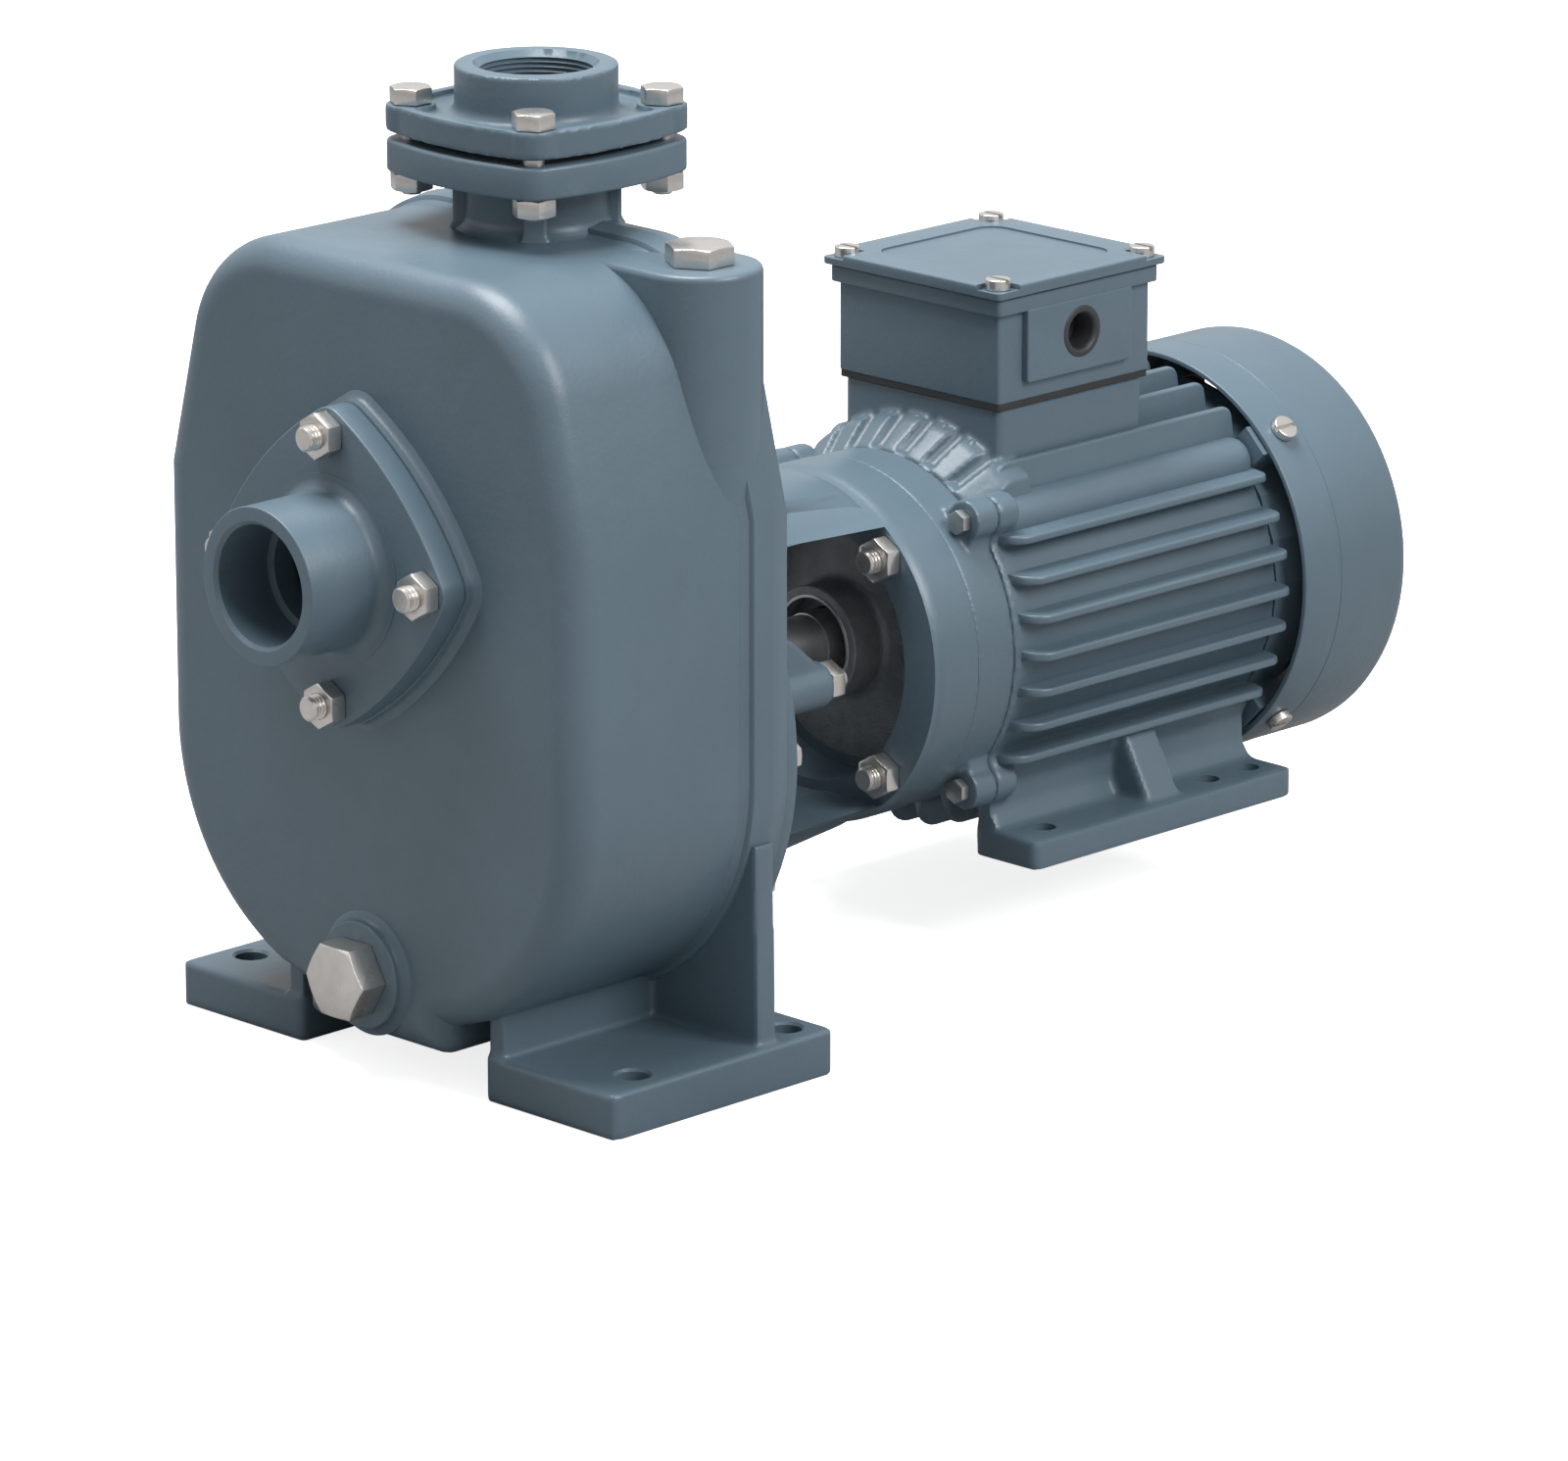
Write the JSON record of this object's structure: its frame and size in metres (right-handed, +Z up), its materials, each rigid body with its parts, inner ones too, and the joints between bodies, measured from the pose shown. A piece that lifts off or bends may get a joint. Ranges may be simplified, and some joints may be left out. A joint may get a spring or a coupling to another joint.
{
  "type": "slurry pump",
  "caption": "Self-priming slurry pump with a foot-mounted cast casing, top discharge flange, side suction nozzle and an open lantern joining it to a finned electric motor.",
  "frame": {"origin": "on the floor under the middle of the length, on the vertical plane of the shaft", "axes": "+Z up, +Y along the shaft from the suction nozzle to the motor's fan cover, +X to the side of the priming plug and the cable entry"},
  "size_m": [0.281, 0.645, 0.4418],
  "materials": {
    "paint": "satin blue-grey enamel over cast iron",
    "zinc": "bright zinc plating",
    "steel": "machined steel",
    "iron": "bare casting",
    "rubber": "matt black",
    "plastic": "matt black",
    "copper": "varnished copper windings"
  },
  "bodies": {
    "pump": {"cable_entry_bush": "plastic", "discharge_bolt_1": "zinc", "discharge_bolt_2": "zinc", "discharge_bolt_3": "zinc", "discharge_bolt_4": "zinc", "discharge_flange": "paint", "discharge_gasket": "rubber", "fan_cover": "paint", "fan_cover_screw_1": "zinc", "fan_cover_screw_2": "zinc", "fan_cover_screw_3": "zinc", "fan_cover_screw_4": "zinc", "flap_pin": "steel", "front_bearing": "steel", "gland_stud_left": "zinc", "gland_stud_right": "zinc", "lantern_bracket": "paint", "lantern_stud_1": "zinc", "lantern_stud_2": "zinc", "lantern_stud_3": "zinc", "lantern_stud_4": "zinc", "lid_screw_1": "zinc", "lid_screw_2": "zinc", "lid_screw_3": "zinc", "lid_screw_4": "zinc", "motor_frame": "paint", "motor_front_shield": "paint", "motor_rear_shield": "paint", "pump_casing": "paint", "rear_bearing": "steel", "seal_housing": "paint", "seal_seat": "iron", "shield_bolt_1": "zinc", "shield_bolt_2": "zinc", "shield_bolt_3": "zinc", "shield_bolt_4": "zinc", "stator": "copper", "suction_flange": "paint", "suction_gasket": "rubber", "suction_stud_1": "zinc", "suction_stud_2": "zinc", "suction_stud_3": "zinc", "suction_stud_4": "zinc", "terminal_board": "plastic", "terminal_box": "paint", "terminal_box_gasket": "rubber", "terminal_box_lid": "paint", "volute": "iron"},
    "rotor": {"rotor_shaft": "steel", "rotor_core": "steel", "impeller": "iron", "impeller_nut": "steel", "seal_ring": "steel", "cooling_fan": "plastic"},
    "flap": {"check_valve_flap": "rubber"},
    "priming_plug": {"priming_plug": "zinc"},
    "drain_plug": {"drain_plug": "zinc"}
  },
  "joints": [
    {"name": "rotor_spin", "type": "hinge", "parent": "pump", "child": "rotor", "pos_m": [0, -0.05735, 0.145], "axis": [0, 1, 0], "continuous": true},
    {"name": "check_valve_swing", "type": "hinge", "parent": "pump", "child": "flap", "pos_m": [0, -0.24685, 0.2775], "axis": [1, 0, 0], "range_deg": [0, 45]},
    {"name": "priming_plug_pull", "type": "slide", "parent": "pump", "child": "priming_plug", "axis": [0, 0, 1], "range_m": [0, 0.03]},
    {"name": "drain_plug_pull", "type": "slide", "parent": "pump", "child": "drain_plug", "axis": [0, -1, 0], "range_m": [0, 0.03]}
  ]
}
